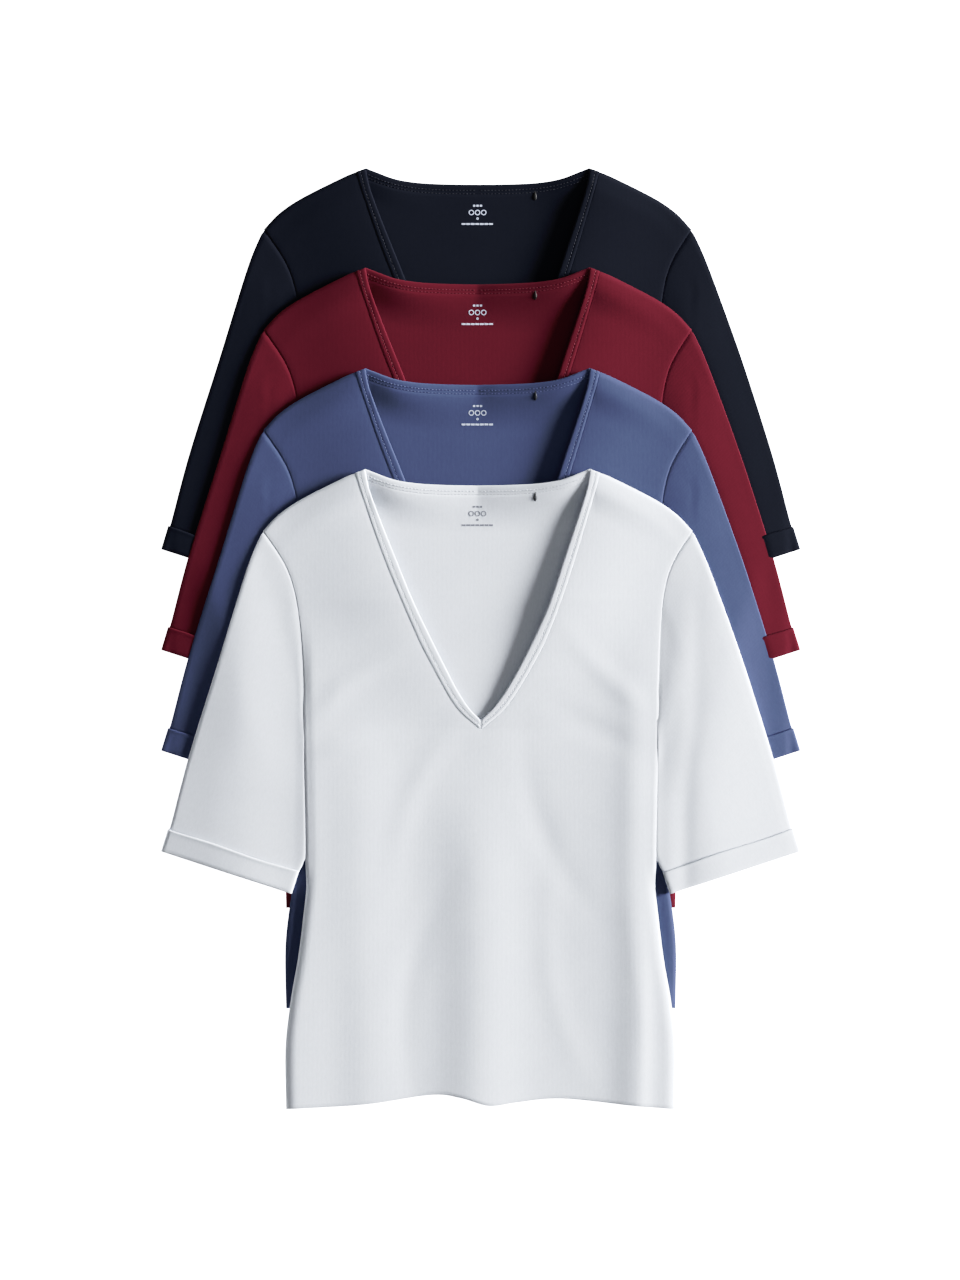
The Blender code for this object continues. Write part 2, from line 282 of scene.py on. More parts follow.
def place(plan, side):
    """Put points of the +X half on their own side of the tee, with its lean and neckline bow."""
    x, y = plan[..., 0], plan[..., 1]
    if side > 0:
        along = np.clip((y - NECK_EDGE[0][1]) / (BODY_LENGTH - NECK_EDGE[0][1]), 0.0, 1.0)
        near = np.clip((SHOULDER[-1][0] - x) / (SHOULDER[-1][0] - 60.0), 0.0, 1.0)
        x = x + NECK_BOW * np.sin(math.pi * along) * near * np.clip(x / 20.0, 0.0, 1.0)
    lean = LEAN * smoothstep((y - 400.0) / 150.0)
    return np.stack([side * x - lean, y], axis=-1)


def rest_height(level, spot):
    """Underside of a tee: flat on the tees below it, then down to the floor past their lower edges."""
    half_width, y = np.abs(spot[..., 0]), spot[..., 1]
    cuff_edge = CUFF_INNER[-1][1] + CUFF_SLOPE * (half_width - CUFF_INNER[-1][0])
    lowest = cuff_edge * smoothstep((half_width - 172.0) / (SLEEVE_REST + 30.0 - 172.0))
    t = (y - lowest) / PITCH
    soft = 0.5 * (np.sqrt(t * t + 0.03) + t)                # eases the cloth off the floor
    over = soft - level
    return TEE_RISE * np.clip(soft - 0.5 * (np.sqrt(over * over + 0.03) + over), 0.0, level)


def persists(level, spot):
    """1 where a tee shows, down to 0 well under the tee that lies on it."""
    if level == TOP_TEE:
        return np.ones(spot.shape[:-1])
    return smoothstep((spot[..., 1] + PITCH - top_of(np.abs(spot[..., 0]))) / COVER_FADE + 1.0)


def outline_fade(spot, shoulder_fade):
    """0 at the outline of a tee, up to 1 further in; the armholes don't count as outline."""
    x, y = np.abs(spot[..., 0]), spot[..., 1]
    side = smoothstep(from_side_seam(x, y) / EDGE_FADE + 0.05)
    side = side + (1 - side) * smoothstep((y - 380.0) / 70.0)
    reach = shoulder_fade + (EDGE_FADE - shoulder_fade) * smoothstep((x - 150.0) / 60.0)
    return smoothstep(below_top(x, y) / reach + 0.05) * side


def neck_lift(spot, filled):
    """How far the raised neckline lifts the cloth; filled also comes down inside the V."""
    x, y = spot[..., 0] + LEAN, spot[..., 1]
    seam_x = np.interp(y, SEAM_LINE[:, 1], SEAM_LINE[:, 0])
    tip = NECK_SEAM[0][1]
    outside = np.hypot(np.clip(np.abs(x) - seam_x, 0.0, None), 1.3 * np.clip(tip - y, 0.0, None))
    inside = np.clip(seam_x - np.abs(x), 0.0, None) * (y > tip)
    away = outside / NECK_REACH + (inside / NECK_INNER_REACH if filled else 0.0)
    along = np.clip((y - tip) / (BODY_LENGTH - tip), 0.0, 1.0)
    rise = np.interp(along, (0.0, 0.2, 0.5, 0.7, 0.85, 1.0), (0.16, 0.55, 0.97, 0.82, 0.75, 0.6))
    left, right = settings().neck_left / MM, settings().neck_right / MM
    lift = left + (right - left) * smoothstep(x / 40.0 + 0.5)
    return lift * rise * np.exp(-away ** 2)


def folds(spot):
    """Long folds and short drag lines."""
    x, y = spot[..., 0], spot[..., 1]
    total = np.zeros(x.shape)
    for upper, lower, left, right, height in RIDGES:
        t = np.clip((upper[1] - y) / (upper[1] - lower[1]), 0.0, 1.0)
        across = x - (upper[0] + t * (lower[0] - upper[0])) - 2.0 * np.sin(5.0 * t + upper[1])
        width = np.where(across < 0, left, right)
        total += height * (0.72 + 0.28 * t) * smoothstep(3.0 * t) * np.exp(-(across / width) ** 2)
    for centre, degrees, length, width, height in DRAGS:
        c, s = math.cos(math.radians(degrees)), math.sin(math.radians(degrees))
        along = (x - centre[0]) * c + (y - centre[1]) * s
        across = (y - centre[1]) * c - (x - centre[0]) * s + 0.002 * along * along
        total += height * np.exp(-(along / length) ** 2 - (across / width) ** 2)
    return total * settings().folds


def loft(level, spot, filled=False):
    """How far a tee's upper cloth stands off its lower cloth."""
    open_share = SHOULDER_SHARE + (1 - SHOULDER_SHARE) * outline_fade(spot, NECK_FADE)
    own = neck_lift(spot, filled) * open_share + folds(spot) * outline_fade(spot, EDGE_FADE)
    return np.maximum(own, -0.7) * persists(level, spot)


def back_height(spot):
    """Middle of the back's cloth, which rises to meet the raised shoulder seams."""
    near_seam = 1 - outline_fade(spot, 1.4 * NECK_FADE)
    near_seam = near_seam * smoothstep((spot[..., 1] - 470.0) / 60.0)
    near_seam = near_seam * smoothstep((np.abs(spot[..., 0]) - 35.0) / 60.0)
    return BACK_HEIGHT + SHOULDER_SHARE * neck_lift(spot, True) * near_seam


def drape(level, spot):
    """How far the raised parts of the tee below lift this one."""
    if level == 0:
        return np.zeros(spot.shape[:-1])
    return loft(level - 1, spot - np.array([0.0, PITCH]), filled=True)


def in_stack(level, spot, height):
    """From a tee's own frame to metres in the stack's frame."""
    x = spot[..., 0]
    y = spot[..., 1] + (TOP_TEE - level) * PITCH - STACK_LENGTH / 2
    return np.stack([x, y, rest_height(level, spot) + drape(level, spot) + height], axis=-1) * MM


# ---- meshes


def weld(grids, closed):
    """Points and quads of grids that meet; closed grids join their last column to their first."""
    points, quads, start = [], [], 0
    for grid in grids:
        rows, columns = grid.shape[:2]
        index = start + np.arange(rows * columns).reshape(rows, columns)
        if closed:
            index = np.hstack([index, index[:, :1]])
        corners = [index[:-1, :-1], index[:-1, 1:], index[1:, 1:], index[1:, :-1]]
        quads.append(np.stack(corners, -1).reshape(-1, 4))
        points.append(grid.reshape(-1, 3))
        start += rows * columns
    points, quads = np.vstack(points), np.vstack(quads)
    _, first, same = np.unique(np.round(points / (0.01 * MM)).astype(np.int64), axis=0,
                               return_index=True, return_inverse=True)
    return points[first], same.reshape(-1)[quads]


def vertex_normals(points, quads):
    a, b, c, d = (points[quads[:, i]] for i in range(4))
    face = np.cross(c - a, d - b)
    normals = np.zeros_like(points)
    for corner in range(4):
        np.add.at(normals, quads[:, corner], face)
    return normals / np.maximum(np.linalg.norm(normals, axis=1), 1e-15)[:, None]


def mesh_object(name, points, faces, material):
    mesh = bpy.data.meshes.new(name)
    mesh.from_pydata(points.tolist(), [], [f for f in faces if len(set(f)) > 2])
    mesh.validate()
    mesh.polygons.foreach_set("use_smooth", np.ones(len(mesh.polygons), dtype=bool))
    mesh.materials.append(material)
    piece = bpy.data.objects.new(name, mesh)
    bpy.context.scene.collection.objects.link(piece)
    return piece


def cloth_piece(name, grids, wall, material, closed=False):
    """A shell of cloth: both faces, and a rounded lip along every free edge."""
    points, quads = weld(grids, closed)
    normals = vertex_normals(points, quads)
    half = wall / 2
    count = len(points)
    edges = np.vstack([quads[:, [i, (i + 1) % 4]] for i in range(4)])
    edges = edges[edges[:, 0] != edges[:, 1]]
    key = edges[:, 0].astype(np.int64) * count + edges[:, 1]
    back = edges[:, 1].astype(np.int64) * count + edges[:, 0]
    free = edges[~np.isin(key, back)]
    outward = np.zeros_like(points)
    way = points[free[:, 1]] - points[free[:, 0]]
    push = np.cross(way, normals[free[:, 0]])
    push /= np.maximum(np.linalg.norm(push, axis=1), 1e-15)[:, None]
    for corner in (0, 1):
        np.add.at(outward, free[:, corner], push)
    rim = np.unique(free)
    out = outward[rim] / np.maximum(np.linalg.norm(outward[rim], axis=1), 1e-15)[:, None]
    layers = [points + normals * half, points - normals * half]
    for angle in (45, 0, -45):
        c, s = math.cos(math.radians(angle)), math.sin(math.radians(angle))
        layers.append(points[rim] + normals[rim] * half * s + out * half * (c - 0.35))
    place_of = np.full(count, -1)
    place_of[rim] = np.arange(len(rim))
    ring = [free] + [2 * count + k * len(rim) + place_of[free] for k in range(3)] + [count + free]
    faces = quads.tolist() + (count + quads[:, ::-1]).tolist()
    for upper, lower in zip(ring, ring[1:]):
        faces += np.stack([upper[:, 1], upper[:, 0], lower[:, 0], lower[:, 1]], -1).tolist()
    faces = [list(dict.fromkeys(f)) for f in faces]
    return mesh_object(name, np.vstack(layers), faces, material)


def thread(name, starts, ends, material):
    """Short stitches as one mesh: a small rounded capsule from each start to each end."""
    sides, rings = 6, ((-1.0, 0.25), (-0.75, 0.8), (0.0, 1.0), (0.75, 0.8), (1.0, 0.25))
    points, faces = [], []
    angle = np.arange(sides) * 2 * math.pi / sides
    up = np.array((0.0, 0.0, 1.0))
    for start, end in zip(starts, ends):
        middle, half = (start + end) / 2, (end - start) / 2
        along = half / np.linalg.norm(half)
        across = np.cross(along, up)
        across /= np.linalg.norm(across)
        base = len(points)
        for t, r in rings:
            for a in angle:
                points.append(middle + half * t
                              + THREAD_RADIUS * r * (math.cos(a) * across + math.sin(a) * up))
        for k in range(len(rings) - 1):
            for i in range(sides):
                j = (i + 1) % sides
                a, b = base + k * sides, base + (k + 1) * sides
                faces.append([a + i, a + j, b + j, b + i])
        faces.append([base + i for i in reversed(range(sides))])
        faces.append([base + (len(rings) - 1) * sides + i for i in range(sides)])
    return mesh_object(name, np.array(points), faces, material)


# ---- materials


def add_node(tree, kind, inputs=None, **values):
    """Add a node, set its properties, and set or link its inputs; a linked input is (node, output)."""
    node = tree.nodes.new(kind)
    for name, value in values.items():
        setattr(node, name, value)
    for name, value in (inputs or {}).items():
        if isinstance(value, tuple) and isinstance(value[0], bpy.types.Node):
            tree.links.new(value[0].outputs[value[1]], node.inputs[name])
        else:
            node.inputs[name].default_value = value
    return node


def new_material(name):
    material = bpy.data.materials.new(name)
    material.use_nodes = True
    tree = material.node_tree
    tree.nodes.clear()
    return material, tree


def material_named(title, build, *details):
    """The material of that name, which is built the first time it is asked for."""
    known = bpy.data.materials.get(title)
    if known:
        return known
    material, tree = new_material(title)
    add_node(tree, "ShaderNodeOutputMaterial", {"Surface": (build(tree, *details), "BSDF")})
    return material


def jersey(tree, colour, grain_degrees, sheen):
    """Cotton single jersey, knitted and garment-washed: matt, with fine upright wales and a soft fuzz."""
    place_in = add_node(tree, "ShaderNodeTexCoord")
    grain = add_node(tree, "ShaderNodeMapping", {"Vector": (place_in, "Object"),
                                                 "Rotation": (0, 0, math.radians(grain_degrees))})
    # Real wales are 0.6 mm apart; they are drawn 1.2 mm apart so that they show
    wales = add_node(tree, "ShaderNodeTexWave", {"Vector": (grain, "Vector"), "Scale": 0.314 / (1.2 * MM),
                                                 "Distortion": 1.2, "Detail": 1.0, "Detail Scale": 0.6},
                     bands_direction="X")
    # Uneven yarn: slubs about 1 mm wide and 3 mm long
    stretch = add_node(tree, "ShaderNodeMapping", {"Vector": (grain, "Vector"), "Scale": (1.0, 0.35, 1.0)})
    slubs = add_node(tree, "ShaderNodeTexNoise", {"Vector": (stretch, "Vector"), "Scale": 1 / (1.6 * MM),
                                                  "Detail": 3.0, "Roughness": 0.6})
    # Soft unevenness from washing and pressing, 25 mm and more across
    wash = add_node(tree, "ShaderNodeTexNoise", {"Vector": (grain, "Vector"), "Scale": 1 / (38 * MM),
                                                 "Detail": 2.0, "Roughness": 0.5})
    light, dark = tuple(min(1.0, c * 1.03) for c in colour), tuple(c * 0.965 for c in colour)
    mottle = add_node(tree, "ShaderNodeValToRGB", {"Fac": (slubs, "Fac")})
    for element, position, tone in zip(mottle.color_ramp.elements, (0.32, 0.70), (dark, light)):
        element.position, element.color = position, (*tone, 1)
    shade = add_node(tree, "ShaderNodeValToRGB", {"Fac": (wash, "Fac")})
    for element, position, tone in zip(shade.color_ramp.elements, (0.30, 0.72),
                                       ((0.965, 0.965, 0.97, 1), (1, 1, 1, 1))):
        element.position, element.color = position, tone
    tint = add_node(tree, "ShaderNodeMix", {"Factor": 1.0, 6: (mottle, "Color"), 7: (shade, "Color")},
                    data_type="RGBA", blend_type="MULTIPLY")
    knit = add_node(tree, "ShaderNodeMath", {0: (wales, "Fac"), 1: (slubs, "Fac")}, operation="ADD")
    bump = add_node(tree, "ShaderNodeBump", {"Height": (knit, "Value"), "Strength": 0.3,
                                             "Distance": 0.08 * MM})
    cotton = add_node(tree, "ShaderNodeBsdfPrincipled", {
        "Base Color": (tint, 2), "Normal": (bump, "Normal"), "Roughness": 0.88, "IOR": 1.46,
        "Specular IOR Level": 0.15, "Sheen Weight": sheen, "Sheen Roughness": 0.45})
    cotton.inputs["Sheen Tint"].default_value = (*(min(1.0, 0.35 + 0.65 * c) for c in colour), 1)
    return cotton


def sewing_thread(tree, colour):
    """Spun polyester sewing thread, two plies twisted: a little glossier than the jersey."""
    place_in = add_node(tree, "ShaderNodeTexCoord")
    # Plies twisted every 0.8 mm
    twist = add_node(tree, "ShaderNodeTexWave", {"Vector": (place_in, "Object"),
                                                 "Scale": 0.314 / (0.8 * MM), "Distortion": 2.0},
                     bands_direction="DIAGONAL")
    ramp = add_node(tree, "ShaderNodeValToRGB", {"Fac": (twist, "Fac")})
    ramp.color_ramp.elements[0].color = (*(c * 0.8 for c in colour), 1)
    ramp.color_ramp.elements[1].color = (*colour, 1)
    bump = add_node(tree, "ShaderNodeBump", {"Height": (twist, "Fac"), "Strength": 0.5,
                                             "Distance": 0.08 * MM})
    return add_node(tree, "ShaderNodeBsdfPrincipled", {
        "Base Color": (ramp, "Color"), "Normal": (bump, "Normal"), "Roughness": 0.6, "IOR": 1.5})


def print_ink(tree, colour):
    """Heat-transfer ink pressed into the knit: flat and matt, slightly broken by the loops under it."""
    place_in = add_node(tree, "ShaderNodeTexCoord")
    loops = add_node(tree, "ShaderNodeTexNoise", {"Vector": (place_in, "Object"), "Scale": 1 / (0.7 * MM),
                                                  "Detail": 2.0})
    ramp = add_node(tree, "ShaderNodeValToRGB", {"Fac": (loops, "Fac")})
    for element, position, share in zip(ramp.color_ramp.elements, (0.3, 0.6), (0.8, 1.0)):
        element.position, element.color = position, (*(c * share for c in colour), 1)
    bump = add_node(tree, "ShaderNodeBump", {"Height": (loops, "Fac"), "Strength": 0.3,
                                             "Distance": 0.05 * MM})
    return add_node(tree, "ShaderNodeBsdfPrincipled", {
        "Base Color": (ramp, "Color"), "Normal": (bump, "Normal"), "Roughness": 0.7, "IOR": 1.45})


def tee_cloth(level, side=0):
    """The jersey of one tee; a sleeve's wales run down the sleeve."""
    name, degrees = TEES[level], side * -18
    return material_named(f"{name} cotton single jersey {degrees:+.0f}", jersey,
                          tuple(getattr(colours(), name)), degrees, 0.05 if name == "white" else 0.03)


def thread_with_painted_highlight(level):
    """Thread in the cloth's colour; on the dark tees it is made paler, a painted highlight for where the
    stitches catch the light.
    """
    name = TEES[level]
    # Painted highlight: on the dark tees the thread colour is raised well above the cloth's.
    painted_highlight_gain, lift = (1.02, 0.0) if name == "white" else (1.75, 0.006)
    return material_named(f"{name} spun polyester thread", sewing_thread,
                          tuple(min(0.9, c * painted_highlight_gain + lift) for c in getattr(colours(), name)))


# ---- plans


def finer(level, top_tee, others):
    """A mesh setting: the top tee shows most, so its mesh is finer."""
    return top_tee if level == TOP_TEE else others


def row_heights(level):
    """Rows of a body below its armholes."""
    return np.linspace(0.0, ARMPIT, int(round(ARMPIT / finer(level, 4.0, 10.0))) + 1)


def half_body(level, side, top, centre):
    """Plan of half a body, rows from the hem up, below the given top and beside the centre line."""
    u = even(len(top) - 1)
    armhole = curve(ARMHOLE, even(len(centre) - 1))
    armpit_line = centre[0] + u[:, None] * (armhole[0] - centre[0])
    rows = []
    for height in row_heights(level)[:-1]:
        x = u * np.interp(height, SIDE_LINE[:, 1], SIDE_LINE[:, 0])
        t = height / ARMPIT
        y = height + (armpit_line[:, 1] - armpit_line[-1, 1]) * t ** 3
        hem = np.interp(side * x, HEM[:, 0], HEM[:, 1])
        rows.append(np.column_stack([x, y + hem * (1 - smoothstep(height / 70.0))]))
    return np.vstack([np.array(rows), patch(armpit_line, top, centre, armhole)])


def columns(level, length):
    return int(round(length / finer(level, 3.2, 4.2)))


def body_steps(level):
    return finer(level, 66, 50)


def oriented(grid, side):
    """Columns in the order that turns a grid's face up on either side of the tee."""
    return grid if side > 0 else grid[:, ::-1]


def side_drop(plan):
    """0 along a side seam, where the two layers are sewn together, up to 1 away from it."""
    near = np.clip(from_side_seam(plan[..., 0], plan[..., 1]) / SIDE_CLOSE, 0.0, 1.0)
    return np.where(plan[..., 1] < ARMPIT + 2.0, np.sqrt(near * (2 - near)), 1.0)


def top_drop(plan):
    """The same along the shoulder seams."""
    near = np.clip((top_of(plan[..., 0]) - plan[..., 1]) / (1.2 * SIDE_CLOSE), 0.0, 1.0)
    return np.where(plan[..., 0] > SHOULDER[0][0] - 4.0, np.sqrt(near * (2 - near)), 1.0)


def armhole_groove(plan):
    """Depth of the soft groove along an armhole seam."""
    away = from_seam(plan, ARMHOLE_LINE)
    return ARMHOLE_GROOVE * np.exp(-(away / GROOVE_WIDTH) ** 2) * (plan[..., 1] > ARMHOLE[0][1] - 1.0)


def neck_groove(plan):
    """Depth of the dip where a front is sewn to its binding."""
    near_tip = np.hypot(plan[..., 0], plan[..., 1] - NECK_SEAM[0][1])
    away = np.where(plan[..., 1] < NECK_SEAM[0][1], near_tip, from_seam(plan, SEAM_LINE))
    return NECK_GROOVE * np.exp(-(away / GROOVE_WIDTH) ** 2)


def front_top(level, side, plan):
    """Middle of the front's cloth, for points of a plan."""
    y = plan[..., 1]
    closing = np.minimum(side_drop(plan), top_drop(plan))
    from_side = from_side_seam(plan[..., 0], y)
    width, high = SIDE_ROLL[side]
    # Beside a sleeve the edge stays up and lies just over the sleeve's inner fold
    above_cuff = smoothstep((y - CUFF_LEVEL) / 30.0)
    beside_sleeve = above_cuff * (1 - smoothstep((y - ARMPIT) / 34.0))
    overhang = 2.0 * beside_sleeve * np.exp(-(from_side / 2.5) ** 2)
    spot = place(plan + np.stack([overhang, 0 * overhang], axis=-1), side)
    drop = np.sin(0.5 * math.pi * np.clip(from_side / width, 0.0, 1.0)) ** 1.2
    if side > 0:
        kept = np.maximum(0.85 * beside_sleeve, smoothstep((y - 350.0) / 20.0))
    else:
        kept = 0.3 * above_cuff
    drop = drop + (1 - drop) * kept
    roll = high * drop * np.exp(-(np.clip(from_side - width, 0, None) / 45.0) ** 2)
    roll = roll * (1 - smoothstep((y - 400.0) / 70.0)) * persists(level, spot)
    lifted = FRONT_HEIGHT - 0.55 * (1 - closing) * (1 - beside_sleeve) + loft(level, spot) + roll
    return spot, lifted - armhole_groove(plan) - neck_groove(plan)


def sleeve_steps(level):
    """Steps round half a sleeve or cuff."""
    return finer(level, 44, 36)


def sleeve_plan(level):
    """Plan of the +X sleeve, rows from the cuff seam up to the armhole."""
    rows, across = finer(level, 84, 62), sleeve_steps(level)
    top = curve(ARMHOLE, even(across)) - (ARMHOLE_TUCK, 0.0)
    inner = curve(UNDERARM, even(rows))[::-1]
    outer = curve(ARM_LINE, even(rows))[::-1]
    inner[:, 0] -= (inner[-1, 0] - top[0, 0]) * smoothstep((inner[:, 1] - 330.0) / 36.0)
    inner[-1], outer[-1] = top[0], top[-1]
    bottom = inner[0] + even(across)[:, None] * (outer[0] - inner[0])
    return patch(bottom, top, inner, outer)


def soft_ramp(value, knee):
    """0 below 0, rising one for one above it, with a soft knee."""
    return 0.5 * (np.sqrt(value * value + knee * knee) + value) - 0.5 * knee


def sleeve_crown(level, side, u, v, spot):
    """Height of a sleeve's upper cloth over its lower one.

    u runs across from the underarm, v up from the cuff.
    """
    high = settings().sleeve_crown / MM
    near_seam = 0.72 if side > 0 else 0.84
    fades = (1 - smoothstep((v - near_seam) / (1 - near_seam))) * persists(level, spot)
    half_width, y = np.abs(spot[..., 0]), spot[..., 1]
    if level != TOP_TEE:
        # Held up by the edge of the tee above, and falling from there to the outer fold
        strip = np.clip(-below_top(half_width, y + PITCH) / 28.0, 0.0, 1.0)
        return (1.6 - 2.6 * strip ** 1.2 if side > 0 else 1.9 - 1.4 * strip) * fades
    base = rest_height(level, spot)
    held_up = 0.8 * (base[:, :1] - base)              # the upper cloth doesn't drop with the lower one
    if side < 0:
        # Down from the body's edge into a shallow valley, slowly up, then a long fall to the outer fold
        crest = 226.0 + 22.0 * smoothstep((384.0 - y) / 110.0)
        shape = 1.45 * smoothstep((half_width - 178.0) / 52.0) - 0.45
        shape = shape - 0.5 * smoothstep((half_width - 162.0) / 13.0)
        rise = 0.0
    else:
        # The armpit pulls a trough down beside the body
        trough = 202.0 - 11.0 * smoothstep((400.0 - y) / 130.0)
        crest = trough + 27.0
        depth = 0.4 + 0.35 * smoothstep((400.0 - y) / 130.0)
        shape = 0.15 - depth * np.exp(-((half_width - trough) / 9.0) ** 2)
        shape = shape - 0.25 * (1 - smoothstep((half_width - 166.0) / 12.0))
        rise = 0.25 * high * smoothstep((u - 0.1) / 0.4) * (1 - 0.25 * smoothstep((u - 0.93) / 0.07))
    shape = shape - OUTER_FALL * soft_ramp(half_width - crest, 14.0)
    return np.maximum(rise + held_up + shape, -0.9) * fades


def pressed_tube(level, side, plan, crown, radius):
    """A tube pressed flat: over the top, round the outer fold, back underneath, round the inner one."""
    across = plan[:, -1] - plan[:, 0]
    across = across / np.linalg.norm(across, axis=1)[:, None]
    along = np.gradient(plan[:, 0], axis=0)
    inward = np.column_stack([along[:, 1], -along[:, 0]])
    inward *= (np.sign((inward * across).sum(axis=1)) / np.linalg.norm(inward, axis=1))[:, None]
    u = even(plan.shape[1] - 1)[None, :, None]
    inset = (radius + 0.45)[:, None, None]
    top = plan + inset * (inward[:, None] * (1 - u) ** 6 - across[:, None] * u ** 6)
    base = BACK_HEIGHT
    r = radius[:, None]
    spots, heights = [top], [base + 2 * r + crown]
    for where, way, edge, order in ((-1, across, crown[:, -1], 1), (0, -inward, crown[:, 0], -1)):
        angles = np.radians((60, 30, 0, -30, -60))[::order]
        spots.append(np.stack([top[:, where] + way * (radius * math.cos(a))[:, None] for a in angles], 1))
        heights.append(np.stack([base + radius * (1 + math.sin(a)) + 0.5 * edge * (1 + math.sin(a))
                                 for a in angles], 1))
        if where == -1:
            spots.append(top[:, ::-1])
            heights.append(np.full(top.shape[:2], base))
    return oriented(in_stack(level, np.concatenate(spots, 1), np.concatenate(heights, 1)), side)


# ---- making the pieces


def finish_piece(piece, nodes=()):
    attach(piece, BODY)
    if nodes:
        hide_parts(*nodes)
    return piece


def hand(side):
    return "left" if side < 0 else "right"


def sew(level, part, grids, side=0, wall=None, closed=False):
    node = f"{TEES[level]}_{part}" + (f"_{hand(side)}" if side else "")
    piece = cloth_piece(node + "_cloth", grids, wall or settings().cloth, tee_cloth(level, side), closed)
    finish_piece(piece, [node])


def make_back(level):
    steps = body_steps(level)
    grids = []
    for side in SIDES:
        neck = curve(BACK_SEAM, even(int(steps * 0.58))) - (0.0, SEAM_GAP)
        shoulder = curve(SHOULDER, even(steps - int(steps * 0.58)))
        top = np.vstack([neck, shoulder[1:]])
        tip = np.array(NECK_SEAM[0], float)
        centre = tip + even(columns(level, 236))[:, None] * (neck[0] - tip)
        plan = half_body(level, side, top, centre)
        seam = np.interp(plan[..., 0], *curve(BACK_SEAM, even(60)).T)
        dip = 0.1 * np.exp(-((seam - plan[..., 1]) / 2.5) ** 2)
        spot = place(plan, side)
        grids.append(oriented(in_stack(level, spot, back_height(spot) - dip), side))
    sew(level, "back", grids)


def make_back_binding(level):
    grids = []
    v = np.append(-0.05, even(10))
    profile = 0.12 + 0.1 * np.sin(math.pi * np.clip((v - 0.42) / 0.5, 0, 1))
    profile = profile - 0.4 * smoothstep((v - 0.9) / 0.1) * v
    for side in SIDES:
        lower, upper = (curve(line, even(60)) for line in (BACK_SEAM, BACK_NECK))
        plan = lower[None] + v[:, None, None] * (upper - lower)[None]
        spot = place(plan, side)
        grids.append(oriented(in_stack(level, spot, back_height(spot) + profile[:, None]), side))
    sew(level, "neck_binding_back", grids)


def make_front(level):
    grids = []
    for side in SIDES:
        count = columns(level, 250)
        plan = half_body(level, side, curve(SHOULDER, even(body_steps(level))),
                         curve(NECK_SEAM, even(count) ** 1.12))
        grids.append(oriented(in_stack(level, *front_top(level, side, plan)), side))
    sew(level, "front", grids)


def binding_plan(side, steps, across):
    """Points across a leg of the front binding, from its free edge to its seam."""
    along = even(steps) ** 1.12
    edge, seam = curve(NECK_EDGE, along), curve(NECK_SEAM, along)
    seam[:, 0] += 0.5 * np.minimum(1.0, 10 * along)
    seam[0, 1] += 2 * SEAM_GAP
    return edge[:, None] + across[None, :, None] * (seam - edge)[:, None]


def binding_profile(across):
    """A rounded free edge, the stitched groove, then the ridge of the seam allowance under the cloth."""
    roll = 0.55 * np.sqrt(np.clip(across / 0.20, 0, 1) * (2 - np.clip(across / 0.20, 0, 1)))
    groove = 0.24 * np.exp(-((across - BAND_STITCH_LINE) / 0.08) ** 2)
    return roll - 0.45 - groove - 0.22 * smoothstep((across - 0.82) / 0.18)


def binding_height(level, across, spot):
    """Middle of a front binding's cloth."""
    return FRONT_HEIGHT + BINDING_PROUD + binding_profile(across)[None] + loft(level, spot)


def make_front_binding(level):
    # Closer together over the rolled edge and the stitched groove
    across = np.array([0, 0.03, 0.07, 0.12, 0.18, 0.26, 0.36, 0.46, 0.52, 0.56, 0.60, 0.64, 0.68, 0.74,
                       0.82, 0.9, 0.96, 1.0])
    grids = []
    for side in SIDES:
        plan = binding_plan(side, 150, across)
        spot = place(plan, side)
        mitre = 0.35 * np.exp(-(plan[..., 0] / 0.9) ** 2)
        grids.append(oriented(in_stack(level, spot, binding_height(level, across, spot) - mitre), side))
    sew(level, "neck_binding_front", grids, wall=CLOTH)


def make_sleeve(level, side):
    plan = sleeve_plan(level)
    rows, count = plan.shape[:2]
    u, v = even(count - 1)[None, :], even(rows - 1)[:, None]
    spot = place(plan, side)
    radius = 0.95 - 0.25 * smoothstep((v[:, 0] - 0.8) / 0.2)
    crown = sleeve_crown(level, side, u, v, spot)
    _, at_seam = front_top(level, side, plan[-1:])
    meet = at_seam - (0.15 if side > 0 else 0.12) - BACK_HEIGHT - 2 * radius[-1]
    nearing = smoothstep((v - 0.6) / 0.4) if side > 0 else smoothstep((v - 0.8) / 0.2)
    crown = crown + meet * nearing
    groove = armhole_groove(plan) * (v > 0.5)
    crown = crown - np.where(v < 1, groove - groove[-1:] * smoothstep((v - 0.6) / 0.4), 0)
    tube = pressed_tube(level, side, spot, crown, radius)
    sew(level, "sleeve", [tube], side, closed=True)


def make_cuff(level, side):
    u = even(sleeve_steps(level))
    t = np.array([-0.06, -0.03, 0.0, 0.04, 0.1, 0.2, 0.3, 0.4, 0.5, 0.6, 0.7, 0.8, 0.9, 0.96, 1.0])[::-1]
    inner = np.array(CUFF_INNER[0]) + t[:, None] * (np.array(CUFF_INNER[1]) - CUFF_INNER[0])
    outer = np.array(CUFF_OUTER[0]) + t[:, None] * (np.array(CUFF_OUTER[1]) - CUFF_OUTER[0])
    plan = inner[:, None] + u[None, :, None] * (outer - inner)[:, None]
    # The turned-up edge isn't quite straight
    plan[..., 1] += 0.5 * np.sin(9 * u + level + side) * (1 - np.clip(t, 0, 1)[:, None])
    spot = place(plan, side)
    radius = np.full(len(t), 1.5)
    crown = sleeve_crown(level, side, u[None], np.zeros((len(t), 1)), spot)
    lip = 0.35 * np.exp(-(t / 0.05) ** 2) - 0.7 * smoothstep((t - 0.9) / 0.1)
    crown = crown + 0.55 + lip[:, None] * np.sin(math.pi * u[None]) ** 0.3
    tube = pressed_tube(level, side, spot, crown, radius)
    sew(level, "cuff", [tube], side, wall=CUFF_CLOTH, closed=True)


